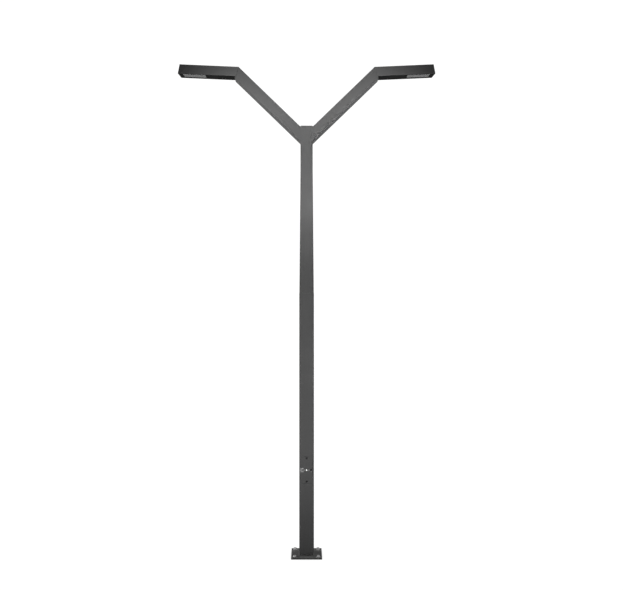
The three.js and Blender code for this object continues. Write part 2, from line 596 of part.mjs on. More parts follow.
function headEndCap(name, side) {
  const block = solid(prismX(headOutline(), HEAD.length - HEAD.height, HEAD.length));
  const cap = cut(block.intersect(beyondEnd(-HEAD.cap)), beyondEnd(0));
  return piece(name, cap, MATERIALS.coat, side);
}

// The closing panel under the inner half of the head, cut off along the seam.
function driverCover(name, side) {
  const w = INNER_HALF - GAP;
  const panel = box([-HEAD.height, -w, PANEL_BOTTOM_Z], [PANEL.splitX, w, PANEL_TOP_Z]);
  const trimmed = panel.intersect(beyondPlane(HEAD_SEAM, SPIGOT.plate + 3 * GAP));
  return piece(name, cut(trimmed, coverScrewHole()), MATERIALS.blackCoat, side);
}

function coverScrew(name, side) {
  const seatZ = PANEL_BOTTOM_Z - GAP;
  const tipZ = LEDGE_Z + LEDGE.bridgeThick;
  const head = barZ(COVER_SCREW.head, COVER_SCREW_X, 0, seatZ - COVER_SCREW.headHigh, seatZ);
  const shank = barZ(COVER_SCREW.shank, COVER_SCREW_X, 0, seatZ - PAST, tipZ, 12);
  return piece(name, join(head, shank), MATERIALS.blackSteel, side);
}

function glassFrame(name, side) {
  const w = INNER_HALF - GAP;
  const panel = box([PANEL.splitX + GAP, -w, PANEL_BOTTOM_Z], [HEAD.length, w, PANEL_TOP_Z]);
  const opening = box(
    [PANEL.windowX, -PANEL.windowHalf, PANEL_BOTTOM_Z - PAST],
    [HEAD.length, PANEL.windowHalf, PANEL_TOP_Z + PAST],
  );
  const window = cut(opening, beyondEnd(PANEL.windowEndX - HEAD.length));
  const frame = cut(panel, window, beyondEnd(-HEAD.cap - 2 * GAP));
  return piece(name, frame, MATERIALS.blackCoat, side);
}

function windowGlass(name, side) {
  const w = PANEL.windowHalf + GLASS.margin;
  const floorZ = PANEL_TOP_Z + GAP;
  const pane = box(
    [PANEL.windowX - GLASS.margin, -w, floorZ],
    [PANEL.windowEndX + GLASS.margin, w, floorZ + GLASS.thick],
  );
  return piece(name, pane, MATERIALS.glass, side);
}

const boardZ = PANEL_TOP_Z + LED.boardHigh;

function ledBoard(name, side) {
  const board = box(
    [PANEL.windowX - LED.overlap, -PANEL.windowHalf, boardZ],
    [PANEL.windowEndX + LED.overlap, PANEL.windowHalf, boardZ + LED.boardThick],
  );
  return piece(name, board, MATERIALS.board, side);
}

// A plate above the LED board, with fins that carry the heat to the housing's top.
function heatSink(name, side) {
  const bottom = boardZ + LED.boardThick + GAP;
  const finBottom = bottom + SINK.thick - PAST;
  const [x0, x1] = [PANEL.windowX - SINK.overlap, PANEL.windowEndX + SINK.overlap];
  const plate = box([x0, -SINK.half, bottom], [x1, SINK.half, bottom + SINK.thick]);
  const fins = Array.from({ length: SINK.fins }, (_, index) => {
    const y = SINK.finSpan * ((2 * index) / (SINK.fins - 1) - 1);
    return box([x0, y - SINK.fin / 2, finBottom], [x1, y + SINK.fin / 2, -HEAD.wall - GAP]);
  });
  return piece(name, join(plate, ...fins), MATERIALS.aluminium, side);
}

function driver(name, side) {
  const topZ = -HEAD.wall - GAP;
  const can = box([DRIVER.startX, -DRIVER.half, topZ - DRIVER.high], [DRIVER.endX, DRIVER.half, topZ]);
  return piece(name, can, MATERIALS.shell, side);
}

// One cable climbs the pole, follows the arm, and passes the spigot to the driver.
function feedCable(name, side) {
  const point = ([x, z]) => new THREE.Vector3(x, 0, z);
  const path = new THREE.CatmullRomCurve3([
    ...CABLE.inPole.map(point),
    ...CABLE.inArm.map((x) => point([x, armZ(x)])),
    ...CABLE.inHead.map((place) => point(place).applyMatrix4(headPlace)),
  ]);
  const section = new THREE.Shape();
  section.absarc(0, 0, CABLE.radius, 0, 2 * Math.PI);
  const options = { steps: 60, curveSegments: 3, extrudePath: path };
  return piece(name, solid(new THREE.ExtrudeGeometry(section, options)), MATERIALS.cable, side);
}

// ---------------------------------------------------------------- the whole light

const light = new THREE.Group();

light.add(basePlate(), ...anchorPlaces.map(anchorWasher), ...anchorPlaces.map(anchorBolt));
light.add(lowerShaft(), jointSleeve(), ...jointBoltZ.map(jointBolt), upperShaft(), topCap());
light.add(doorFrame(), accessDoor());
light.add(doorScrew("door_screw_top", doorScrewZ[0]), doorScrew("door_screw_bottom", doorScrewZ[1]));
light.add(hingeBracket(), hingePin(), hingeLeaf(), doorStrap(), strapBolt());
light.add(doorNut("strap_nut", 0, STRAP.nut, STRAP_BOLT.shank, STRAP.nutThick));
light.add(doorNut("lock_nut", LOCK.x, LOCK.nut, LOCK.body, LOCK.nutThick));
light.add(lockBody(), lockLever(), lockCam(), lockCamScrew());
light.add(equipmentBoard(), breakerBody(), breakerLever(), terminalBlock(), earthBolt());

const headParts = {
  head_housing: headHousing,
  head_end_cap: headEndCap,
  spigot,
  driver,
  driver_cover: driverCover,
  cover_screw: coverScrew,
  glass_frame: glassFrame,
  window_glass: windowGlass,
  led_board: ledBoard,
  heat_sink: heatSink,
};

for (const [label, side] of [["left", -1], ["right", 1]]) {
  light.add(arm(`${label}_arm`, side), feedCable(`${label}_feed_cable`, side));
  const head = new THREE.Group();
  head.position.set(side * ARM.reach, 0, ELBOW_Z);
  head.rotation.y = -side * HEAD.tilt;
  for (const [part, make] of Object.entries(headParts)) {
    head.add(make(`${label}_${part}`, side));
  }
  light.add(head);
}

export default light;
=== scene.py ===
# Looks for the twin-arm street light: coated steel, plated fasteners, LED windows and a pale studio.
# Everything is in metres, in the CAD part's own frame: +Z up, the door faces -Y.

import json
import math

import bmesh
import bpy
from mathutils import Matrix, Vector


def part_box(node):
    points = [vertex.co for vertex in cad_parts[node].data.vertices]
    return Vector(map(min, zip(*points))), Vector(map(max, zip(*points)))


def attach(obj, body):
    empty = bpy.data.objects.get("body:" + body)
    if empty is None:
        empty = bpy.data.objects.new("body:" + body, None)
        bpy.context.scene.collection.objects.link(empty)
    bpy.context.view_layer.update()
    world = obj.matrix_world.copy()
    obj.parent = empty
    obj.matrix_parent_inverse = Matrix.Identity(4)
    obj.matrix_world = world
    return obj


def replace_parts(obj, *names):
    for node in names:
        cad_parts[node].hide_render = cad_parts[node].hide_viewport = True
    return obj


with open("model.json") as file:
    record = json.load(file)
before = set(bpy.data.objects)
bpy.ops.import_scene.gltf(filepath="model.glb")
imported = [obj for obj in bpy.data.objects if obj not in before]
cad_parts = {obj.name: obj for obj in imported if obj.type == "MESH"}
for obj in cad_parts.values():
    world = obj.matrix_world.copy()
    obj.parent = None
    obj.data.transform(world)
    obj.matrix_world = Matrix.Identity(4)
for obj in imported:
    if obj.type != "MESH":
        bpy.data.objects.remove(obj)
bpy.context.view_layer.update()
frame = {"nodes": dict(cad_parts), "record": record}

MM = 0.001
SIDES = (("left", -1), ("right", 1))

# ------------------------------------------------------------------ driving values

HEX_BOLT = {
    "flats": 24 * MM,
    "head": 9 * MM,
    "shank": 8 * MM,
    "washer_bore": 8.3 * MM,
    "corner_slope": math.tan(math.radians(30)),
}

# Button-head screws: the radii of shank and head, the head's height, and the socket across flats.
DOOR_SCREW = {"shank": 3 * MM, "head": 8 * MM, "height": 3.5 * MM, "flats": 4 * MM}
STRAP_BOLT = {"shank": 4 * MM, "head": 7 * MM, "height": 4 * MM, "flats": 5 * MM}
JOINT_BOLT = {"shank": 4 * MM, "head": 7 * MM, "height": 4.2 * MM, "flats": 5 * MM}

BEAD = {"radius": 4 * MM, "lift": 0.8 * MM, "fillet": 2 * MM, "ripple": 0.12, "pitch": 5 * MM}
FOOT_CORNER = 7 * MM
SEAM = {"in_pole": 7 * MM, "in_arm": 1.5 * MM, "deep": 4 * MM, "proud": 0.04 * MM, "inset": 6 * MM}

LOCK = {"hub": 6 * MM, "thick": 2.5 * MM, "core": 3.8 * MM, "tip": 3.5 * MM, "gap": 0.3 * MM}
TERMINAL = {"pitch": 16 * MM, "deep": 5 * MM, "screw": 2.9 * MM, "screw_height": 2.2 * MM}
BREAKER = {"step": 12.8 * MM, "screw_inset": 9 * MM, "screw": 3.4 * MM, "screw_height": 2 * MM}
SCREW_SLOT = 12  # half the angle that a driver slot takes out of a screw head's rim, in degrees
LUG = {"bore": 4.2 * MM, "radius": 7 * MM, "thick": 1.2 * MM, "from_stud_end": 5 * MM}
WIRE = {"radius": 1.6 * MM, "gap": 0.3 * MM, "drop": 8 * MM, "rise": 7 * MM, "clear": 6 * MM}

LENS = {
    "pitch": 15.5 * MM,
    "margin": 4 * MM,
    "radius": 5.2 * MM,
    "height": 4.4 * MM,
    "plate": 1.2 * MM,
    "standoff": 2.6 * MM,
}
CHIP = {"size": 3.2 * MM, "thick": 0.7 * MM, "gap": 0.1 * MM}
GASKET = {"radius": 0.8 * MM, "inset": 3.4 * MM, "drop": 2 * MM, "corner": 2.5 * MM}
HEAD_END_SLOPE = math.tan(math.radians(5.5))  # how the head's outer end turns back

CAMERA = {"place": (0.0, -6.111, 2.001), "lens": 42.98, "shift": (0.00787, 0.0249)}

# How bright the floor and the surroundings look to the camera, to mirrors, and to soft light.
FLOOR_LIGHT = {"camera": 1.08, "mirror": 0.75, "soft": 0.066}
WORLD_LIGHT = {"camera": 1.08, "mirror": 0.08, "soft": 0.07}


# ------------------------------------------------------------------ node helpers


class Graph:
    """A material's node tree. add() makes a node, and links every input that is given as a socket."""

    def __init__(self, name):
        self.material = bpy.data.materials.new(name)
        self.material.use_nodes = True
        self.tree = self.material.node_tree
        self.tree.nodes.clear()

    def add(self, kind, inputs=None, **settings):
        node = self.tree.nodes.new("ShaderNode" + kind)
        for key, value in settings.items():
            setattr(node, key, value)
        for key, value in (inputs or {}).items():
            if isinstance(value, bpy.types.NodeSocket):
                self.tree.links.new(value, node.inputs[key])
            else:
                node.inputs[key].default_value = value
        return node

    def math(self, operation, a, b=0.0, clamp=False):
        return self.add("Math", {0: a, 1: b}, operation=operation, use_clamp=clamp).outputs[0]

    def mix(self, share, a, b):
        """The colour a, or b where share is 1."""
        return self.add("Mix", {0: share, 6: a, 7: b}, data_type="RGBA").outputs[2]

    def place(self, scale=(1, 1, 1)):
        """Places on the piece, in its own metres times scale."""
        where = self.add("TexCoord").outputs["Object"]
        return self.add("Mapping", {"Vector": where, "Scale": scale}).outputs[0]

    def noise(self, size, detail=2.0, stretch=(1, 1, 1), roughness=0.5):
        """Noise whose features are about size metres across, drawn out where stretch is above 1."""
        scale = tuple(1 / (size * s) for s in stretch)
        inputs = {"Vector": self.place(scale), "Scale": 1.0, "Detail": detail, "Roughness": roughness}
        return self.add("TexNoise", inputs).outputs["Fac"]

    def ramp(self, value, low, high, start=0.0, end=1.0):
        inputs = {"Value": value, "From Min": low, "From Max": high, "To Min": start, "To Max": end}
        return self.add("MapRange", inputs).outputs[0]

    def bump(self, height, strength, distance, under=None):
        inputs = {"Height": height, "Strength": strength, "Distance": distance}
        if under is not None:
            inputs["Normal"] = under
        return self.add("Bump", inputs).outputs[0]

    def finish(self, shader):
        output = self.add("OutputMaterial")
        self.tree.links.new(shader, output.inputs["Surface"])
        return self.material


def grey(value, tint=(1.0, 1.0, 1.0)):
    return (value * tint[0], value * tint[1], value * tint[2], 1.0)


# ------------------------------------------------------------------ materials


def upward(graph):
    """1 on surfaces that face up, where dust lies, and 0 on walls."""
    normal = graph.add("NewGeometry").outputs["Normal"]
    z = graph.add("SeparateXYZ", {0: normal}).outputs[2]
    return graph.ramp(z, 0.55, 0.95)


def worn_edge(graph, radius):
    """Near 1 along outer edges, where the bevelled normal leaves the true one."""
    true = graph.add("NewGeometry").outputs["Normal"]
    rounded = graph.add("Bevel", {"Radius": radius}, samples=4).outputs[0]
    match = graph.add("VectorMath", {0: true, 1: rounded}, operation="DOT_PRODUCT").outputs["Value"]
    return graph.ramp(match, 0.995, 0.88)


def powder_coat(name, value, dust=0.06, shine=0.3):
    """Matt powder coat: a fine pebbled skin, faint handling streaks, dust and rubbed edges."""
    g = Graph(name)
    broad = g.noise(0.22, 3.0)
    streak = g.noise(0.012, 3.0, stretch=(1, 1, 22))
    speckle = g.noise(0.0011, 1.0)
    tone = g.mix(g.ramp(broad, 0.3, 0.7), grey(value * 0.9), grey(value * 1.1))
    tone = g.mix(g.ramp(streak, 0.45, 0.75, 0.0, 0.16), tone, grey(value * 1.7))
    tone = g.mix(g.ramp(speckle, 0.35, 0.75, 0.0, 0.45), tone, grey(value * 1.6))
    lying = g.math("MULTIPLY", upward(g), g.ramp(g.noise(0.03, 4.0), 0.35, 0.7, 0.3, 1.0))
    tone = g.mix(g.math("MULTIPLY", lying, dust), tone, grey(0.16, (1.0, 0.98, 0.95)))
    rubbed = g.math("MULTIPLY", worn_edge(g, 0.0012), g.ramp(g.noise(0.02, 3.0), 0.4, 0.65))
    tone = g.mix(g.math("MULTIPLY", rubbed, 0.25), tone, grey(value * 2.0))
    roughness = g.math("ADD", g.ramp(broad, 0.3, 0.7, 0.46, 0.56), g.ramp(streak, 0.4, 0.8, 0.0, 0.06))
    pebble = g.bump(g.noise(0.0012, 3.0), 0.35, 0.00015)
    skin = g.bump(g.noise(0.009, 2.0), 0.15, 0.0003, under=pebble)
    inputs = {"Base Color": tone, "Roughness": roughness, "Normal": skin, "Specular IOR Level": shine}
    return g.finish(g.add("BsdfPrincipled", inputs).outputs[0])


def bare_metal(name, value, roughness, tint=(1.0, 1.0, 1.0), grain=(1, 1, 1), spangle=0.0):
    """Bare or plated metal with fine scratches, and a crystal spangle where it was hot-dipped."""
    g = Graph(name)
    scratch = g.noise(0.0012, 3.0, stretch=grain)
    stain = g.noise(0.008, 4.0)
    tone = g.mix(g.ramp(stain, 0.4, 0.75, 0.0, 0.5), grey(value, tint), grey(value * 0.55, tint))
    tone = g.mix(g.ramp(scratch, 0.35, 0.75, 0.0, 0.4), tone, grey(min(value * 1.25, 0.95), tint))
    if spangle:
        cells = g.add("TexVoronoi", {"Vector": g.place((300, 300, 300)), "Scale": 1.0}).outputs["Color"]
        shade = g.add("RGBToBW", {0: cells}).outputs[0]
        tone = g.mix(g.ramp(shade, 0.0, 1.0, 0.0, spangle), tone, grey(value * 0.6, tint))
    rough = g.ramp(scratch, 0.3, 0.7, roughness - 0.08, roughness + 0.1)
    normal = g.bump(scratch, 0.25, 0.00006)
    inputs = {"Base Color": tone, "Metallic": 1.0, "Roughness": rough, "Normal": normal}
    return g.finish(g.add("BsdfPrincipled", inputs).outputs[0])


def black_steel(name):
    """Blackened steel, scratched along the piece and a little bare at its edges."""
    g = Graph(name)
    scratch = g.noise(0.0008, 3.0, stretch=(1, 1, 5))
    tone = g.mix(g.ramp(scratch, 0.5, 0.8, 0.0, 0.4), grey(0.009), grey(0.035))
    worn = g.math("MULTIPLY", worn_edge(g, 0.0006), 0.35)
    tone = g.mix(worn, tone, grey(0.1))
    rough = g.ramp(scratch, 0.3, 0.7, 0.36, 0.55)
    normal = g.bump(scratch, 0.2, 0.00005)
    inputs = {"Base Color": tone, "Roughness": rough, "Normal": normal, "Specular IOR Level": 0.2}
    return g.finish(g.add("BsdfPrincipled", inputs).outputs[0])


def moulded(name, value, tint=(1.0, 1.0, 1.0), roughness=0.42):
    """Moulded plastic or enamel: a faint eggshell grain and uneven gloss."""
    g = Graph(name)
    grain = g.noise(0.0007, 2.0)
    cloud = g.noise(0.02, 3.0)
    tone = g.mix(g.ramp(cloud, 0.3, 0.7), grey(value * 0.93, tint), grey(min(value * 1.05, 0.95), tint))
    rough = g.ramp(cloud, 0.3, 0.7, roughness - 0.05, roughness + 0.07)
    inputs = {"Base Color": tone, "Roughness": rough, "Normal": g.bump(grain, 0.2, 0.00005)}
    return g.finish(g.add("BsdfPrincipled", inputs).outputs[0])


def window_glass(name):
    """Thin clear glass: it lets light straight through and mirrors a little, with a film of dust."""
    g = Graph(name)
    film = g.noise(0.015, 4.0)
    clear = g.add("BsdfTransparent", {"Color": (0.88, 0.9, 0.89, 1.0)}).outputs[0]
    shine = g.add("BsdfGlossy", {"Color": grey(0.97), "Roughness": 0.04}).outputs[0]
    haze = g.add("BsdfTranslucent", {"Color": grey(0.8)}).outputs[0]
    mirror = g.add("Fresnel", {"IOR": 1.52}).outputs[0]
    seen = g.add("MixShader", {0: g.ramp(film, 0.35, 0.8, 0.04, 0.12), 1: clear, 2: haze}).outputs[0]
    return g.finish(g.add("MixShader", {0: mirror, 1: seen, 2: shine}).outputs[0])


def lens_plastic(name):
    """Clear optic over the LEDs: mostly see-through, bright where it curves."""
    g = Graph(name)
    edge = g.add("LayerWeight", {"Blend": 0.35}).outputs["Facing"]
    clear = g.add("BsdfTransparent", {"Color": grey(0.86)}).outputs[0]
    body = g.add("BsdfPrincipled", {"Base Color": grey(0.72), "Roughness": 0.12}).outputs[0]
    frosting = g.noise(0.004, 2.0)
    share = g.math("ADD", g.ramp(edge, 0.1, 0.9, 0.25, 0.75), g.ramp(frosting, 0.3, 0.8, 0.0, 0.08))
    return g.finish(g.add("MixShader", {0: share, 1: clear, 2: body}).outputs[0])


def striped_sheath(name):
    """The earth wire's green sheath with its yellow stripe."""
    g = Graph(name)
    inputs = {"Vector": g.place(), "Scale": 60.0, "Distortion": 1.0}
    wave = g.add("TexWave", inputs).outputs["Fac"]
    green, yellow = (0.02, 0.16, 0.03, 1.0), (0.55, 0.45, 0.02, 1.0)
    tone = g.mix(g.ramp(wave, 0.45, 0.55), green, yellow)
    return g.finish(g.add("BsdfPrincipled", {"Base Color": tone, "Roughness": 0.4}).outputs[0])


MATERIALS = {
    "coat": powder_coat("coat_skin", 0.085),
    # painted shade: the heads' underside panels get a near-black coat with almost no shine, standing in
    # for the shade under the heads
    "black_coat": powder_coat("painted_shade_black_skin", 0.004, shine=0.02),
    "strap_coat": powder_coat("strap_skin", 0.19, dust=0.15),
    "zinc": bare_metal("zinc_plate", 0.88, 0.42, spangle=0.3),
    "stainless": bare_metal("stainless_steel", 0.24, 0.46, grain=(1, 1, 14)),
    "black_steel": black_steel("blackened_steel"),
    "aluminium": bare_metal("mill_aluminium", 0.36, 0.45, grain=(14, 1, 1)),
    "led_board": moulded("white_solder_mask", 0.74, roughness=0.3),
    "shell": moulded("grey_plastic", 0.55),
    "lever": moulded("black_plastic", 0.02, roughness=0.35),
    "cable": moulded("cable_sheath", 0.02, roughness=0.5),
    "glass": window_glass("clear_glass"),
}
RUBBER = moulded("black_rubber", 0.012, roughness=0.7)
LENS_PLASTIC = lens_plastic("lens_plastic")
PHOSPHOR = moulded("led_phosphor", 0.75, (1.0, 0.72, 0.12), 0.35)
BRASS = bare_metal("brass", 0.62, 0.32, (1.0, 0.7, 0.28))
LIVE_SHEATH = moulded("brown_sheath", 0.10, (1.0, 0.42, 0.2), 0.4)
EARTH_SHEATH = striped_sheath("earth_sheath")


# ------------------------------------------------------------------ mesh helpers


def piece(name, vertices, faces, material, body, smooth=True):
    """A new object of this mesh, its faces turned outwards, that rides on a body."""
    mesh = bpy.data.meshes.new(name)
    mesh.from_pydata([tuple(v) for v in vertices], [], faces)
    mesh.validate()
    work = bmesh.new()
    work.from_mesh(mesh)
    bmesh.ops.remove_doubles(work, verts=work.verts, dist=1e-6)
    bmesh.ops.recalc_face_normals(work, faces=work.faces)
    work.to_mesh(mesh)
    work.free()
    mesh.polygons.foreach_set("use_smooth", [smooth] * len(mesh.polygons))
    mesh.materials.append(material)
    made = bpy.data.objects.new(name, mesh)
    bpy.context.scene.collection.objects.link(made)
    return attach(made, body)


def bevel(made, width, segments=2, angle=30):
    """Rounds the edges where faces turn by more than this many degrees."""
    modifier = made.modifiers.new("edges", "BEVEL")
    modifier.width = width
    modifier.segments = segments
    modifier.limit_method = "ANGLE"
    modifier.angle_limit = math.radians(angle)
    modifier.harden_normals = True
    return made


def ring_faces(rings, sides, closed):
    """Quads between neighbouring rings of points, and on from the last to the first if closed."""
    faces = []
    spans = rings if closed else rings - 1
    for i in range(spans):
        a, b = i * sides, ((i + 1) % rings) * sides
        faces += [(a + j, a + (j + 1) % sides, b + (j + 1) % sides, b + j) for j in range(sides)]
    return faces


def turned(rings, place, sides=48, capped=True):
    """A body of revolution as (vertices, faces). Each ring is (height, radius), and a radius may be a
    function of the angle. place turns its +Z into the real axis."""
    vertices = []
    for height, radius in rings:
        for j in range(sides):
            angle = 2 * math.pi * j / sides
            r = radius(angle) if callable(radius) else radius
            vertices.append(place @ Vector((r * math.cos(angle), r * math.sin(angle), height)))
    faces = ring_faces(len(rings), sides, closed=not capped)
    if capped:
        last = (len(rings) - 1) * sides
        faces += [tuple(range(sides)), tuple(range(last, last + sides))]
    return vertices, faces


def hexagon(flats, limit=None):
    """The radius of a hexagon at an angle, held under limit where a cone trims its corners."""

    def radius(angle):
        turn = (angle + math.pi / 6) % (math.pi / 3) - math.pi / 6
        flat = flats / 2 / math.cos(turn)
        return min(flat, limit) if limit else flat

    return radius


def axis_place(point, direction):
    """Moves the origin to a point, with +Z turned into a direction."""
    return Matrix.Translation(point) @ Vector(direction).to_track_quat("Z", "Y").to_matrix().to_4x4()


def merged(parts):
    """Several (vertices, faces) as one."""
    vertices, faces = [], []
    for more_vertices, more_faces in parts:
        start = len(vertices)
        vertices += more_vertices
        faces += [tuple(start + i for i in face) for face in more_faces]
    return vertices, faces


SIDEWAYS = Vector((1, 0, 0))
UPWARDS = Vector((0, 0, 1))
NEARLY_ALONG = 0.2  # a direction with less than this across it can't set a ring's sideways


def swept(path, radius, closed, sides=10, swell=None):
    """A round bead along a path of points. swell gives a factor for its radius at each length."""
    count = len(path)
    vertices = []
    length = 0.0
    for i, point in enumerate(path):
        before = path[i - 1] if i or closed else point
        after = path[(i + 1) % count] if i + 1 < count or closed else point
        along = (after - before).normalized()
        across = SIDEWAYS - along * along.dot(SIDEWAYS)
        if across.length < NEARLY_ALONG:
            across = UPWARDS - along * along.dot(UPWARDS)
        across.normalize()
        up = across.cross(along)
        r = radius * (swell(length) if swell else 1.0)
        for j in range(sides):
            angle = 2 * math.pi * j / sides
            vertices.append(point + r * (math.cos(angle) * across + math.sin(angle) * up))
        length += (path[(i + 1) % count] - point).length
    faces = ring_faces(count, sides, closed)
    if not closed:
        last = (count - 1) * sides
        faces += [tuple(range(sides)), tuple(range(last, last + sides))]
    return vertices, faces


def along(corners, step, closed=True):
    """Points every step or so along a polyline."""
    points = []
    ends = corners[1:] + corners[:1] if closed else corners[1:]
    for start, end in zip(corners, ends):
        count = max(1, round((end - start).length / step))
        points += [start.lerp(end, i / count) for i in range(count)]
    if not closed:
        points.append(corners[-1])
    return points


def rounded_rectangle(half_x, half_y, corner, steps=5):
    """Points in X and Y round a rectangle with round corners."""
    points = []
    for quarter, (sx, sy) in enumerate(((1, 1), (-1, 1), (-1, -1), (1, -1))):
        for i in range(steps + 1):
            angle = math.pi / 2 * (quarter + i / steps)
            x = sx * (half_x - corner) + corner * math.cos(angle)
            y = sy * (half_y - corner) + corner * math.sin(angle)
            points.append((x, y))
    return points


def box_parts(low, high):
    """A box as (vertices, faces)."""
    (x0, y0, z0), (x1, y1, z1) = low, high
    vertices = [Vector((x, y, z)) for z in (z0, z1) for y in (y0, y1) for x in (x0, x1)]
    faces = [(0, 2, 3, 1), (4, 5, 7, 6), (0, 1, 5, 4), (2, 6, 7, 3), (0, 4, 6, 2), (1, 3, 7, 5)]
    return vertices, faces


# ------------------------------------------------------------------ CAD nodes: finishes and soft edges

USUAL_EDGE = 0.4 * MM
EDGE_WIDTH = {
    "base_plate": 1.2 * MM,
    "pole_top_cap": 1.0 * MM,
    "access_door": 0.5 * MM,
    "hinge_pin": 0.3 * MM,
}


def finish_node(node, material):
    """Gives a CAD node its material, and modifiers that close its triangles up and round its edges."""
    made = frame["nodes"][node]
    made.data.materials.clear()
    made.data.materials.append(material)
    for name in ("custom_normal", "sharp_edge", "sharp_face"):
        attribute = made.data.attributes.get(name)
        if attribute:
            made.data.attributes.remove(attribute)
    weld = made.modifiers.new("weld", "WELD")
    weld.merge_threshold = 1e-5
    if node.endswith("feed_cable"):
        made.data.polygons.foreach_set("use_smooth", [True] * len(made.data.polygons))
        round_off = made.modifiers.new("round", "SUBSURF")
        round_off.levels = round_off.render_levels = 1
        return
    flat = made.modifiers.new("flat_faces", "DECIMATE")
    flat.decimate_type = "DISSOLVE"
    flat.angle_limit = math.radians(0.5)
    bevel(made, EDGE_WIDTH.get(node, USUAL_EDGE))


for row in frame["record"]["subparts"]:
    finish_node(row["node"], MATERIALS[row["material_slot"]])


# ------------------------------------------------------------------ fasteners


def hex_bolt(name, node):
    """A hexagon head with its chamfered corners and washer face, on the CAD bolt's axis."""
    low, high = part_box(node)
    centre = (low + high) / 2
    top = high.z
    under = top - HEX_BOLT["head"]
    flats, shank = HEX_BOLT["flats"], HEX_BOLT["shank"]
    washer_face = 0.47 * flats
    rings = [(low.z, shank), (under - 0.2 * MM, shank), (under, washer_face)]
    rings += [(under + 0.5 * MM, washer_face), (under + 0.5 * MM, hexagon(flats))]
    trims = [share * flats for share in (0.58, 0.56, 0.54, 0.52, 0.5, 0.475)]
    for limit in trims:
        height = top - (limit - trims[-1]) * HEX_BOLT["corner_slope"]
        rings.append((height, hexagon(flats, limit)))
    rings += [(top, 0.43 * flats), (top - 0.3 * MM, 0.38 * flats)]
    place = Matrix.Translation((centre.x, centre.y, 0.0))
    made = piece(name, *turned(rings, place, 72), MATERIALS["zinc"], "pole", smooth=False)
    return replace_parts(made, node)


def flat_washer(name, node):
    """A punched washer in the CAD washer's place: its upper edge rolled over, its lower one crisp."""
    low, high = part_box(node)
    centre = (low + high) / 2
    thick = high.z - low.z
    outer = (high.x - low.x) / 2
    inner = HEX_BOLT["washer_bore"]
    rings = [(0.0, inner), (0.0, outer - 0.2 * MM), (0.2 * MM, outer), (0.6 * thick, outer)]
    rings += [(0.85 * thick, outer - 0.2 * MM), (thick, outer - 0.7 * MM), (thick, inner + 0.3 * MM)]
    rings.append((thick - 0.3 * MM, inner))
    place = Matrix.Translation((centre.x, centre.y, low.z))
    made = piece(name, *turned(rings, place, 64, capped=False), MATERIALS["zinc"], "pole")
    bevel(made, 0.1 * MM, 1, 35)
    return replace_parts(made, node)


for number in range(1, 5):
    hex_bolt(f"hex_bolt_{number}", f"anchor_bolt_{number}")
    flat_washer(f"flat_washer_{number}", f"anchor_washer_{number}")


def button_screw(name, node, body, slot, size, outward=-1):
    """A screw with a domed head and a hexagon socket, from one end of the CAD screw to the other."""
    low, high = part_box(node)
    centre = (low + high) / 2
    tail = high.y if outward < 0 else low.y
    length = high.y - low.y
    shank, head, height, flats = (size[key] for key in ("shank", "head", "height", "flats"))
    seat = length - height
    rim = 0.6 * MM
    rings = [(0.0, shank * 0.85), (rim, shank), (seat, shank), (seat, head * 0.97)]
    rings.append((seat + 0.3 * MM, head))
    for i in range(1, 7):
        angle = math.pi / 2 * i / 6
        radius = head * (0.45 + 0.55 * math.cos(angle)) if i < 6 else flats * 0.62
        rings.append((seat + rim + (height - rim) * math.sin(angle), radius))
    rings += [(length - 0.25 * MM, hexagon(flats)), (length - height * 0.75, hexagon(flats))]
    place = axis_place((centre.x, tail, centre.z), (0, outward, 0))
    made = piece(name, *turned(rings, place, 48), MATERIALS[slot], body)
    bevel(made, 0.12 * MM, 1, 40)
    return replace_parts(made, node)


button_screw("button_screw_top", "door_screw_top", "top_screw", "black_steel", DOOR_SCREW)
button_screw("button_screw_bottom", "door_screw_bottom", "bottom_screw", "black_steel", DOOR_SCREW)
button_screw("button_bolt_strap", "strap_bolt", "door", "zinc", STRAP_BOLT)
button_screw("button_bolt_joint_lower", "joint_bolt_1", "pole", "black_steel", JOINT_BOLT, outward=1)
button_screw("button_bolt_joint_upper", "joint_bolt_2", "pole", "black_steel", JOINT_BOLT, outward=1)


# ------------------------------------------------------------------ welds


def bead_ripple(length):
    """The stacked-coin look of a weld bead."""
    return 1 + BEAD["ripple"] * math.sin(2 * math.pi * length / BEAD["pitch"])


def foot_weld():
    """A bead round the shaft's foot, on the base plate."""
    low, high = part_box("lower_shaft")
    corners = rounded_rectangle(high.x, high.x, FOOT_CORNER, 6)
    path = along([Vector((x, y, low.z + BEAD["lift"])) for x, y in corners], 1.2 * MM)
    bead = swept(path, BEAD["radius"], True, 10, bead_ripple)
    return piece("foot_weld", *bead, MATERIALS["coat"], "pole")


def hub_weld(label, side):
    """The seam between an arm and the pole: filled and ground flush on both faces, with a small
    fillet above and below."""
    points = [vertex.co for vertex in frame["nodes"][f"{label}_arm"].data.vertices]
    inner = min(abs(point.x) for point in points)
    end = [point for point in points if abs(point.x) < inner + 0.1 * MM]
    low, high = (pick(point.z for point in end) for pick in (min, max))
    half = max(point.y for point in end)
    parts = []
    for face in (-1, 1):
        inside = (side * (inner - SEAM["in_pole"]), face * (half - SEAM["deep"]), low + SEAM["inset"])
        outside = (side * (inner + SEAM["in_arm"]), face * (half + SEAM["proud"]), high - SEAM["inset"])
        parts.append(box_parts(inside, outside))
    for z in (low, high):
        ends = [Vector((side * inner, y, z)) for y in (SEAM["inset"] - half, half - SEAM["inset"])]
        path = along(ends, BEAD["pitch"] / 4, False)
        parts.append(swept(path, BEAD["fillet"], False, 12, bead_ripple))
    made = piece(f"{label}_hub_weld", *merged(parts), MATERIALS["coat"], "pole", smooth=False)
    return made


foot_weld()
for label, side in SIDES:
    hub_weld(label, side)


# ------------------------------------------------------------------ lock


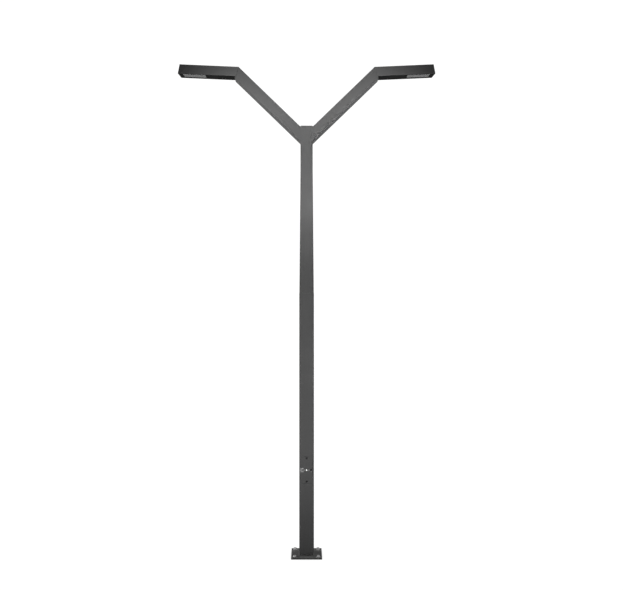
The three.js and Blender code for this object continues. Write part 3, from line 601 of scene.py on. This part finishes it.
def slab(outline, back, front):
    """An outline in X and Z as a plate between two depths, as (vertices, faces)."""
    count = len(outline)
    vertices = [Vector((x, y, z)) for y in (back, front) for x, z in outline]
    faces = ring_faces(2, count, closed=False)
    faces += [tuple(range(count)), tuple(range(count, 2 * count))]
    return vertices, faces


def arc(centre_x, centre_z, radius, start, end, steps=12):
    """Points in X and Z along an arc between two angles in degrees."""
    angles = [math.radians(start + (end - start) * i / steps) for i in range(steps + 1)]
    return [(centre_x + radius * math.cos(a), centre_z + radius * math.sin(a)) for a in angles]


def quarter_turn_lock():
    """The black plug, and below it the worn grip, hollowed to the plug's round. The CAD has both as
    one lever."""
    low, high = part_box("lock_lever")
    x = (low.x + high.x) / 2
    z = high.z - LOCK["hub"]
    depth = high.y - low.y
    face = depth - LOCK["thick"]
    rings = [(0.0, LOCK["core"]), (face, LOCK["core"])]
    rings += [(face, LOCK["hub"]), (depth - 0.5 * MM, LOCK["hub"])]
    rings += [(depth - 0.15 * MM, LOCK["hub"] - 0.25 * MM), (depth, LOCK["hub"] - 0.7 * MM)]
    place = axis_place((x, high.y, z), (0, -1, 0))
    plug = piece("lock_plug", *turned(rings, place, 48), MATERIALS["black_steel"], "lock_core")
    bevel(plug, 0.15 * MM, 1, 40)
    tip = low.z + LOCK["tip"]
    outline = arc(x, tip, LOCK["tip"], 180, 360)
    outline += arc(x, z, LOCK["hub"] + LOCK["gap"], 325, 215)
    plate = slab(outline, low.y + LOCK["thick"], low.y)
    grip = piece("lock_grip", *plate, MATERIALS["strap_coat"], "lock_core")
    bevel(grip, 0.4 * MM, 2, 40)
    for made, slot in ((plug, "black_steel"), (grip, "strap_coat")):
        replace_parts(made, "lock_lever")


quarter_turn_lock()


# ------------------------------------------------------------------ wiring behind the door


def smooth_path(knots, steps=10):
    """A Catmull-Rom curve through the knots."""
    ends = [knots[0] * 2 - knots[1], *knots, knots[-1] * 2 - knots[-2]]
    points = []
    for a, b, c, d in zip(ends, ends[1:], ends[2:], ends[3:]):
        for i in range(steps):
            t = i / steps
            bend = (a * 2 - b * 5 + c * 4 - d) * t * t + (b * 3 - a - c * 3 + d) * t * t * t
            points.append((b * 2 + (c - a) * t + bend) / 2)
    points.append(knots[-1])
    return points


def wire(name, knots, material):
    """A sheathed wire that bends softly through its knots."""
    path = smooth_path([Vector(knot) for knot in knots])
    made = piece(name, *swept(path, WIRE["radius"], False, 12), material, "pole")
    return made


def live_wire(block, breaker):
    """From the terminal block's left well to the breaker's top."""
    under = block[0].z - WIRE["gap"]
    top = breaker[1].z + WIRE["gap"]
    left = -TERMINAL["pitch"]
    knots = [(left, 0, under), (left, 0, under - WIRE["drop"]), (0, 0, top + WIRE["rise"]), (0, 0, top)]
    wire("live_wire", knots, LIVE_SHEATH)


def earth_wire(block, stud):
    """From the terminal block's right well, down beside the board, to a lug on the pole's stud."""
    under = block[0].z - WIRE["gap"]
    right = TERMINAL["pitch"]
    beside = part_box("equipment_board")[1].x + WIRE["clear"]
    x = stud[0].x + LUG["from_stud_end"]
    y, z = (stud[0].y + stud[1].y) / 2, (stud[0].z + stud[1].z) / 2
    knots = [
        (right, 0, under),
        (right + 3 * MM, -2 * MM, under - 20 * MM),
        (beside, 0, under - 60 * MM),
        (beside, y - 4 * MM, z + 35 * MM),
        (x, y, z + LUG["radius"]),
    ]
    wire("earth_wire", knots, EARTH_SHEATH)
    bore, radius, thick = LUG["bore"], LUG["radius"], LUG["thick"]
    rings = [(0.0, bore), (0.0, radius), (thick, radius), (thick, bore)]
    ring = turned(rings, axis_place((x, y, z), (1, 0, 0)), 32, capped=False)
    lug = bevel(piece("earth_lug", *ring, BRASS, "pole"), 0.2 * MM, 1, 40)


def slotted_screw(x, y, z, radius, height):
    """A cheese-head screw facing -Y, with its driver slot, as (vertices, faces)."""
    slot_floor = y - 0.6 * height
    halves = [
        arc(x, z, radius, start + SCREW_SLOT, start + 180 - SCREW_SLOT)
        for start in (0, 180)
    ]
    rim = slab(halves[0] + halves[1], y, slot_floor)
    return merged([rim] + [slab(half, slot_floor, y - height) for half in halves])


def terminal_screws(block, breaker):
    """The brass screws in the terminal block's wells and at the breaker's two ends."""
    radius, height = TERMINAL["screw"], TERMINAL["screw_height"]
    well, middle = block[0].y + TERMINAL["deep"], (block[0].z + block[1].z) / 2
    screws = [slotted_screw(i * TERMINAL["pitch"], well, middle, radius, height) for i in (-1, 0, 1)]
    radius, height = BREAKER["screw"], BREAKER["screw_height"]
    step = breaker[0].y + BREAKER["step"]
    for z in (breaker[0].z + BREAKER["screw_inset"], breaker[1].z - BREAKER["screw_inset"]):
        screws.append(slotted_screw(0, step, z, radius, height))
    made = piece("terminal_screws", *merged(screws), BRASS, "pole", smooth=False)
    bevel(made, 0.15 * MM, 1, 40)


terminal_box, breaker_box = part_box("terminal_block"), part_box("breaker_body")
live_wire(terminal_box, breaker_box)
earth_wire(terminal_box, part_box("earth_bolt"))
terminal_screws(terminal_box, breaker_box)


# ------------------------------------------------------------------ LED windows


def head_place(label, side):
    """From a head's own frame to the part's. Its origin is the middle of the glass pane, x runs out
    along the head, and z is up through the pane."""
    node = f"{label}_window_glass"
    pane = max(frame["nodes"][node].data.polygons, key=lambda face: face.area)
    up = pane.normal * math.copysign(1, pane.normal.z)
    out = Vector((0, side, 0)).cross(up)
    low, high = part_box(node)
    turn = Matrix((out, (0, 1, 0), up)).transposed().to_4x4()
    return Matrix.Translation((low + high) / 2) @ turn


def local_box(node, place):
    """A node's lowest and highest corners in the frame that place leads from."""
    back = place.inverted()
    points = [back @ vertex.co for vertex in frame["nodes"][node].data.vertices]
    return [Vector(pick(point[i] for point in points) for i in range(3)) for pick in (min, max)]


def lens_centres(low, high):
    """A grid of places that fills the board, in x and y."""
    columns, rows = (int((high[i] - low[i] - LENS["margin"]) / LENS["pitch"]) for i in (0, 1))
    for i in range(columns):
        for j in range(rows):
            yield (i - (columns - 1) / 2) * LENS["pitch"], (j - (rows - 1) / 2) * LENS["pitch"]


def dome(x, y, top):
    """One lens that hangs down from its plate."""
    rings = [(0.3 * MM, LENS["radius"])]
    for i in range(7):
        angle = math.pi / 2 * i / 7
        rings.append((-LENS["height"] * math.sin(angle), LENS["radius"] * math.cos(angle)))
    rings.append((-LENS["height"], 0.02 * MM))
    return turned(rings, Matrix.Translation((x, y, top)), 20)


def led_optics(label, side):
    """One moulded plate of domes under the LED board, and the chips that shine into them."""
    place = head_place(label, side)
    low, high = local_box(f"{label}_led_board", place)
    board = low.z - CHIP["gap"]
    under = board - LENS["standoff"]
    plate = box_parts((low.x, low.y, under), (high.x, high.y, under + LENS["plate"]))
    half = CHIP["size"] / 2
    centres = list(lens_centres(low, high))
    domes = [dome(x, y, under) for x, y in centres]
    chips = [
        box_parts((x - half, y - half, board - CHIP["thick"]), (x + half, y + half, board))
        for x, y in centres
    ]
    vertices, faces = merged([plate] + domes)
    vertices = [place @ v for v in vertices]
    piece(f"{label}_lens_plate", vertices, faces, LENS_PLASTIC, "pole")
    vertices, faces = merged(chips)
    vertices = [place @ v for v in vertices]
    leds = piece(f"{label}_led_chips", vertices, faces, PHOSPHOR, "pole", smooth=False)


def window_gasket(label, side):
    """A rubber lip round the window, between the glass and its frame. Its outer end turns back, as
    the head's own end does."""
    place = head_place(label, side)
    low, high = local_box(f"{label}_window_glass", place)
    front = local_box(f"{label}_head_housing", place)[0].y
    half_x, half_y = high.x - GASKET["inset"], high.y - GASKET["inset"]
    corners = []
    for x, y in rounded_rectangle(half_x, half_y, GASKET["corner"]):
        turned_back = HEAD_END_SLOPE * (y - front) if x > 0 else 0.0
        corners.append(Vector((x - turned_back, y, low.z - GASKET["drop"])))
    vertices, faces = swept(along(corners, 12 * MM), GASKET["radius"], True, 8)
    made = piece(f"{label}_window_gasket", [place @ v for v in vertices], faces, RUBBER, "pole")
    return made


for label, side in SIDES:
    led_optics(label, side)
    window_gasket(label, side)


# ------------------------------------------------------------------ studio


def seen_by(tree, levels, kind):
    """A shader whose strength depends on what looks at it: the camera, a mirror or soft light."""
    shader = tree.nodes.new(kind)
    shader.inputs["Color"].default_value = grey(1.0)
    ray = tree.nodes.new("ShaderNodeLightPath")
    total = tree.nodes.new("ShaderNodeMath")
    total.operation = "ADD"
    for socket, name, output in ((0, "camera", "Is Camera Ray"), (1, "mirror", "Is Glossy Ray")):
        share = tree.nodes.new("ShaderNodeMath")
        share.operation = "MULTIPLY"
        share.inputs[1].default_value = levels[name] - levels["soft"]
        tree.links.new(ray.outputs[output], share.inputs[0])
        tree.links.new(share.outputs[0], total.inputs[socket])
    strength = tree.nodes.new("ShaderNodeMath")
    strength.operation = "ADD"
    strength.inputs[1].default_value = levels["soft"]
    tree.links.new(total.outputs[0], strength.inputs[0])
    tree.links.new(strength.outputs[0], shader.inputs["Strength"])
    return shader


def studio_floor():
    """A pale floor that glows and runs out of sight, with a painted contact shadow: ambient occlusion
    darkens its glow close to what stands on it.
    """
    reach, drop = 40.0, -0.5 * MM
    corners = [(x * reach, y * reach, drop) for x, y in ((-1, -1), (1, -1), (1, 1), (-1, 1))]
    mesh = bpy.data.meshes.new("floor")
    mesh.from_pydata(corners, [], [(0, 1, 2, 3)])
    floor = bpy.data.objects.new("floor", mesh)
    bpy.context.scene.collection.objects.link(floor)
    g = Graph("pale_floor")
    # painted contact shadow: ambient occlusion darkens the glowing floor next to the parts
    painted_contact_shadow = g.add("AmbientOcclusion", {"Distance": 0.25}, samples=8).outputs["AO"]
    glow = seen_by(g.tree, FLOOR_LIGHT, "ShaderNodeEmission")
    g.tree.links.new(g.mix(g.ramp(painted_contact_shadow, 0.35, 0.95), grey(0.72), grey(1.0)), glow.inputs["Color"])
    mesh.materials.append(g.finish(glow.outputs[0]))


def studio_world():
    """White to the camera, and a soft dome of light for everything else."""
    world = bpy.data.worlds.new("studio")
    bpy.context.scene.world = world
    world.use_nodes = True
    tree = world.node_tree
    tree.nodes.clear()
    sky = seen_by(tree, WORLD_LIGHT, "ShaderNodeBackground")
    output = tree.nodes.new("ShaderNodeOutputWorld")
    tree.links.new(sky.outputs[0], output.inputs[0])


def aimed(name, data, place, target):
    """A lamp at a place, turned towards its target."""
    lamp = bpy.data.objects.new(name, data)
    bpy.context.scene.collection.objects.link(lamp)
    lamp.location = place
    lamp.rotation_mode = "QUATERNION"
    lamp.rotation_quaternion = (Vector(target) - Vector(place)).to_track_quat("-Z", "Y")
    return lamp


def soft_spot(name, place, target, reach, blend, power, radius=0.35):
    """A spot whose pool of light is reach metres in radius where it lands."""
    data = bpy.data.lights.new(name, "SPOT")
    data.spot_size = 2 * math.atan2(reach, (Vector(target) - Vector(place)).length)
    data.spot_blend = blend
    data.shadow_soft_size = radius
    data.energy = power
    return aimed(name, data, place, target)


def soft_box(name, place, target, size, power):
    """A rectangular lamp of this width and height."""
    data = bpy.data.lights.new(name, "AREA")
    data.shape = "RECTANGLE"
    data.size, data.size_y = size
    data.energy = power
    return aimed(name, data, place, target)


def studio_camera():
    """Level and square to the light's front. The lens shift sets where it sits in the picture."""
    data = bpy.data.cameras.new("camera")
    data.lens = CAMERA["lens"]
    data.shift_x, data.shift_y = CAMERA["shift"]
    data.clip_end = 200
    camera = bpy.data.objects.new("camera", data)
    camera.location = CAMERA["place"]
    camera.rotation_euler = (math.pi / 2, 0, 0)
    bpy.context.scene.collection.objects.link(camera)
    bpy.context.scene.camera = camera


def studio_lights():
    """Soft pools on the side that the camera sees, and soft boxes above it and to its sides."""
    for label, side in SIDES:
        soft_spot(f"key_{label}", (side * 0.42, -4.5, 3.7), (side * 0.4, 0, 3.76), 0.65, 1.0, 670)
    soft_spot("key_high", (0, -4.5, 3.6), (0, 0, 3.35), 1.5, 0.8, 110)
    soft_spot("key_middle", (0, -4.5, 3.0), (0, 0, 2.97), 0.56, 1.0, 620)
    soft_spot("key_low", (0, -4.5, 1.6), (0, 0, 1.5), 1.7, 1.0, 335)
    soft_spot("key_foot", (0, -4.5, 1.4), (0, 0, 0.3), 1.1, 1.0, 120)
    soft_box("top", (0, 0.7, 8), (0, 0, 1), (4, 1), 130)
    soft_box("left_side", (-6, 1.5, 3.5), (0, 0, 2), (3, 4), 340)
    soft_box("right_side", (6, 2.5, 3), (0, 0, 2), (3, 4), 260)


studio_floor()
studio_world()
studio_lights()
studio_camera()
bpy.context.scene.view_settings.view_transform = "Standard"
